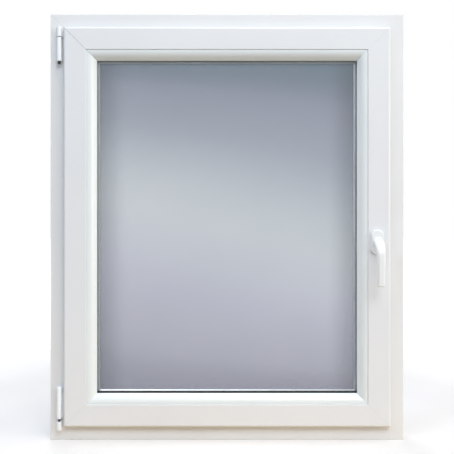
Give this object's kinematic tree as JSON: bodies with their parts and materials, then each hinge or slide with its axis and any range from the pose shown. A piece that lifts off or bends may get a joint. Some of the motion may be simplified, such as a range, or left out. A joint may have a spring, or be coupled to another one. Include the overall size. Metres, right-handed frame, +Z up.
{
  "type": "tilt and turn window",
  "caption": "White plastic tilt and turn window: mitred frame, overlapping sash with double glazing, hinge knuckles on the left and a lever handle on the right.",
  "frame": {"origin": "middle of the underside of the frame sill, at half the frame's depth", "axes": "X to the right seen from the room, +Y to the outside, Z up"},
  "size_m": [1, 0.1555, 1.205],
  "materials": {
    "white_profile": "smooth white PVC",
    "white_cover": "smooth white",
    "handle": "white powder coat",
    "glass": "clear",
    "spacer": "satin",
    "gasket": "matt",
    "steel": "zinc plated"
  },
  "bodies": {
    "window": {"frame_sill": "white_profile", "frame_head": "white_profile", "frame_jamb_hinge_side": "white_profile", "frame_jamb_handle_side": "white_profile", "sash_bottom_rail": "white_profile", "sash_top_rail": "white_profile", "sash_hinge_stile": "white_profile", "sash_handle_stile": "white_profile", "glazing_bead_bottom": "white_profile", "glazing_bead_top": "white_profile", "glazing_bead_left": "white_profile", "glazing_bead_right": "white_profile", "outer_pane": "glass", "inner_pane": "glass", "spacer_bar": "spacer", "bead_gasket": "gasket", "outer_glazing_gasket": "gasket", "frame_stop_gasket": "gasket", "overlap_gasket": "gasket", "top_hinge_bearing": "white_cover", "stay_knuckle": "white_cover", "top_hinge_pin": "steel", "bottom_hinge_bearing": "white_cover", "sash_hinge_sleeve": "white_cover", "bottom_hinge_pin": "steel", "handle_rosette": "handle", "drain_cap_left": "white_cover", "drain_cap_right": "white_cover"},
    "handle": {"handle_lever": "handle"}
  },
  "joints": [
    {"name": "handle_turn", "type": "hinge", "parent": "window", "child": "handle", "pos_m": [0.4195, -0.08, 0.56], "axis": [0, 1, 0], "range_deg": [0, 180]}
  ]
}
